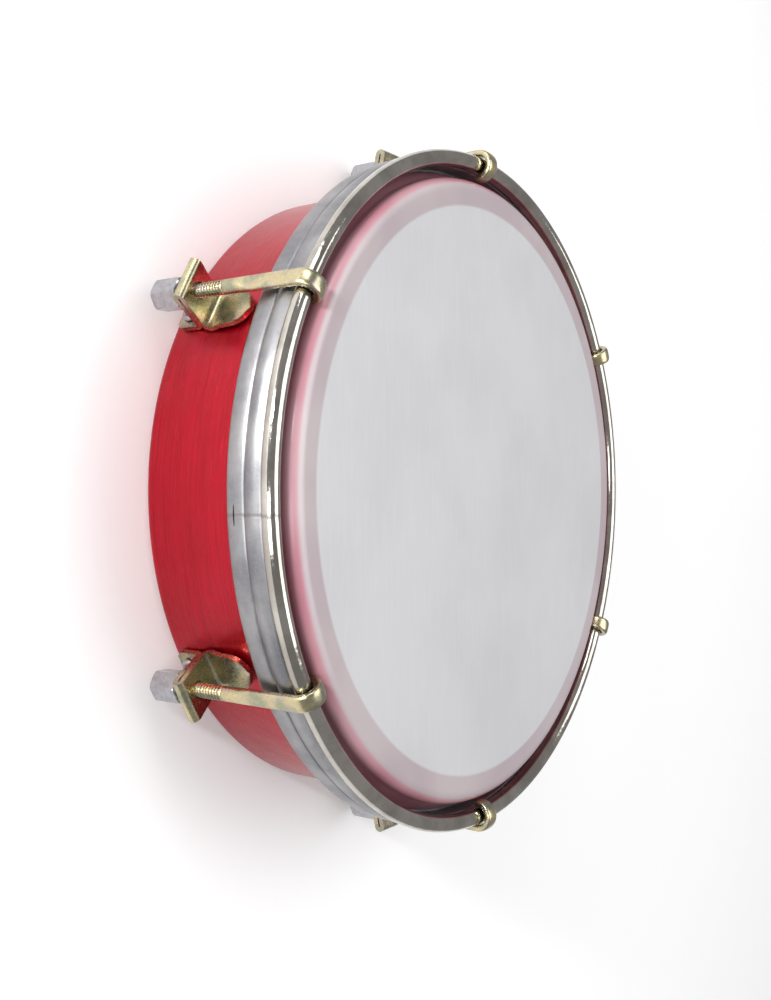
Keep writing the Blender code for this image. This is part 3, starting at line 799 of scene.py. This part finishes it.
def bracket_piece(lug):
    """The strip with its thickness, its two holes and broken edges, turned to its lug."""
    points, side = bracket_points()
    lift = np.stack([side[:, 0], 0 * side[:, 0], side[:, 1]], axis=1)[:, None, :] * (SHEET / 2)
    both = np.concatenate([points + lift, (points - lift)[:, ::-1]], axis=1)
    piece = grid_object(f"bracket_strip_{lug + 1}", at_lug(both, lug), caps=True)
    out = at_lug(np.array([1.0, 0, 0]), lug)
    rod_at = out * ROD_AXIS + [0, 0, ROD_WAY_HEIGHT]
    rod_way = rod("way", rod_at, (0, 0, 1), (ROD_WAY, ROD_WAY), ROD_WAY_DEPTH)
    rivet_at = out * ON_SHELL + [0, 0, RIVET_HEIGHT]
    rivet_way = rod("hole", rivet_at, out, (RIVET_WAY, RIVET_WAY), RIVET_WAY_DEPTH)
    carve(piece, rod_way, rivet_way)
    bevel = piece.modifiers.new("Broken edges", "BEVEL")
    bevel.width = BROKEN_EDGE * MM
    bevel.segments = 2
    bevel.limit_method = "ANGLE"
    bevel.angle_limit = math.radians(BRACKET_EDGES)
    sharpen(piece, BRACKET_EDGES)
    return piece


for lug in range(LUGS):
    place_piece(bracket_piece(lug), ZINC, SLOT["zinc"], "drum_body", f"bracket_{lug + 1}")

# %% [markdown]
# ## Rivets
# Each bracket is held by one rivet: a low dome with a dimple outside, a shank, and a tail set inside the
# shell, which the photo hides. A flattened sphere could stand for the dome, but one profile, turned about the
# lug's outward axis, holds dimple, shank and tail as well.
# %% Rivets
RIVET_SHANK = 1.3
RIVET_EDGES = 45
HEAD_PROFILE = [
    (78.45, 0.05), (78.45, 0.55), (78.62, 0.72), (78.98, 0.86), (79.05, 1.05), (78.95, 1.45),
    (78.72, 1.85), (78.40, 2.12), (78.15, 2.2), (78.02, 2.16),
]
SHANK_PROFILE = [(78.0, RIVET_SHANK), (74.7, RIVET_SHANK)]
TAIL_PROFILE = [(74.7, 1.88), (74.0, 1.85), (73.5, 1.5), (73.3, 1.0), (73.3, 0.05)]


def rivet_points():
    """The profile (distance out, radius) turned about the outward axis: y = r cos a, z = h + r sin a."""
    profile = np.array(HEAD_PROFILE + SHANK_PROFILE + TAIL_PROFILE)
    a = np.linspace(0, math.tau, 40, endpoint=False)
    out, radius = profile[:, 0, None], profile[:, 1, None]
    return np.stack([out + 0 * a, radius * np.cos(a), RIVET_HEIGHT + radius * np.sin(a)], axis=2)


for lug in range(LUGS):
    rivet = grid_object(f"pop_rivet_{lug + 1}", at_lug(rivet_points(), lug), caps=True)
    sharpen(rivet, RIVET_EDGES)
    place_piece(rivet, BRIGHT, SLOT["bright"], "drum_body", f"bracket_rivet_{lug + 1}")

# %% [markdown]
# ## The floor
# The picture has a plain white ground. A backdrop alone could give that, but would leave the drum hanging.
# So a wide white floor lies just under the rear rim and takes its shadow, and a little light of its own keeps
# it white.
# %% Floor
FLOOR_HALF = 3000
FLOOR_DROP = 1.0
FLOOR_WHITE = (0.94, 0.94, 0.94)
FLOOR_GLOW = 0.16


def floor_finish():
    """White, with clouds a hundredth darker."""
    finish = Finish("floor_white", Roughness=0.9, Emission_Strength=FLOOR_GLOW)
    finish.shader.inputs["Emission Color"].default_value = (1, 1, 1, 1)
    cloud = finish.noise(0.004, 2.0, 0.5)
    finish.set(Base_Color=cloud.mix(FLOOR_WHITE, tuple(c * 0.99 for c in FLOOR_WHITE)))
    return finish.material


edge = np.array([-FLOOR_HALF, FLOOR_HALF], float)
floor_y, floor_x = np.meshgrid(edge, edge, indexing="ij")
floor_points = np.stack([floor_x, floor_y, 0 * floor_x - FLOOR_DROP], axis=2)
floor = grid_object("floor", floor_points, wrap_columns=False)
floor.data.materials.append(floor_finish())
print("floor", 2 * FLOOR_HALF * MM, "m wide")

# %% [markdown]
# ## Light
# The strongest and broadest light is overhead. Weaker ones stand in front and at the left, and a narrow strip
# stands low in front at the left. One lit sky would be simpler, but metal shows its form by mirroring light
# and dark. The sky is white for the camera, as the picture's ground is, and grey for all else.
# %% Lights and sky
AIM = (0, 0, 0.02)
SKY_GREY = (0.34, 0.34, 0.35)
SKY_WHITE = (1.0, 1.0, 1.0)


def area_light(name, place, target, size, power):
    """A rectangular light of that size in metres and power in watts, turned to its target."""
    light = bpy.data.lights.new(name, "AREA")
    light.shape = "RECTANGLE"
    light.size, light.size_y = size
    light.energy = power
    made = bpy.data.objects.new(name, light)
    bpy.context.scene.collection.objects.link(made)
    made.location = place
    made.rotation_mode = "QUATERNION"
    made.rotation_quaternion = (Vector(target) - Vector(place)).to_track_quat("-Z", "Y")
    print(name, "light,", power, "W")


area_light("overhead", (-0.1, 0.25, 0.9), (0, 0, 0), (0.9, 0.7), 5.0)
area_light("front", (0.15, -0.9, 0.35), AIM, (0.25, 0.6), 2.4)
area_light("side", (-0.8, -0.35, 0.30), AIM, (0.25, 0.5), 1.8)
area_light("strip", (-0.20, -0.52, 0.10), AIM, (0.04, 0.20), 2.6)

world = bpy.data.worlds.new("studio")
bpy.context.scene.world = world
world.use_nodes = True
sky = world.node_tree.nodes["Background"]
light_path = world.node_tree.nodes.new("ShaderNodeLightPath")
seen = Value(world.node_tree, light_path.outputs["Is Camera Ray"])
world.node_tree.links.new(seen.mix(SKY_GREY, SKY_WHITE).socket, sky.inputs["Color"])
print("sky", SKY_GREY, "and", SKY_WHITE, "for the camera")

# %% [markdown]
# ## Camera
# The picture is turned on its side, with the drum's axis nearly level in it. So the camera looks down at the
# drum from the front and is rolled by a quarter turn. Its place and lens could be judged by eye, but here
# they come from fitting the outlines of shell, hoop and hooks, which is steadier.
# %% Camera
ELEVATION = math.radians(36.0)
DISTANCE = 0.3012
ROLL = 1.572
FOCAL_PIXELS = 1105.7
CENTRE_PIXELS = (351.57, 490.5)
WIDTH, HEIGHT = 771, 1000

back = Vector((0, -math.cos(ELEVATION), math.sin(ELEVATION)))
rise = Vector((0, math.sin(ELEVATION), math.cos(ELEVATION)))
across = Vector((1, 0, 0))
right = math.cos(ROLL) * across + math.sin(ROLL) * rise
up = -math.sin(ROLL) * across + math.cos(ROLL) * rise
camera_data = bpy.data.cameras.new("photo_camera")
camera_data.lens = camera_data.sensor_width * FOCAL_PIXELS / HEIGHT
camera_data.shift_x = (WIDTH / 2 - CENTRE_PIXELS[0]) / HEIGHT
camera_data.shift_y = (CENTRE_PIXELS[1] - HEIGHT / 2) / HEIGHT
camera = bpy.data.objects.new("photo_camera", camera_data)
bpy.context.scene.collection.objects.link(camera)
facing = Matrix((right, up, back)).transposed().to_4x4()
camera.matrix_world = Matrix.Translation(back * DISTANCE) @ facing
scene = bpy.context.scene
scene.camera = camera
scene.render.resolution_x = WIDTH
scene.render.resolution_y = HEIGHT
scene.view_settings.view_transform = "Standard"
print("lens", round(camera_data.lens, 1), "mm, at", [round(x, 3) for x in camera.location])
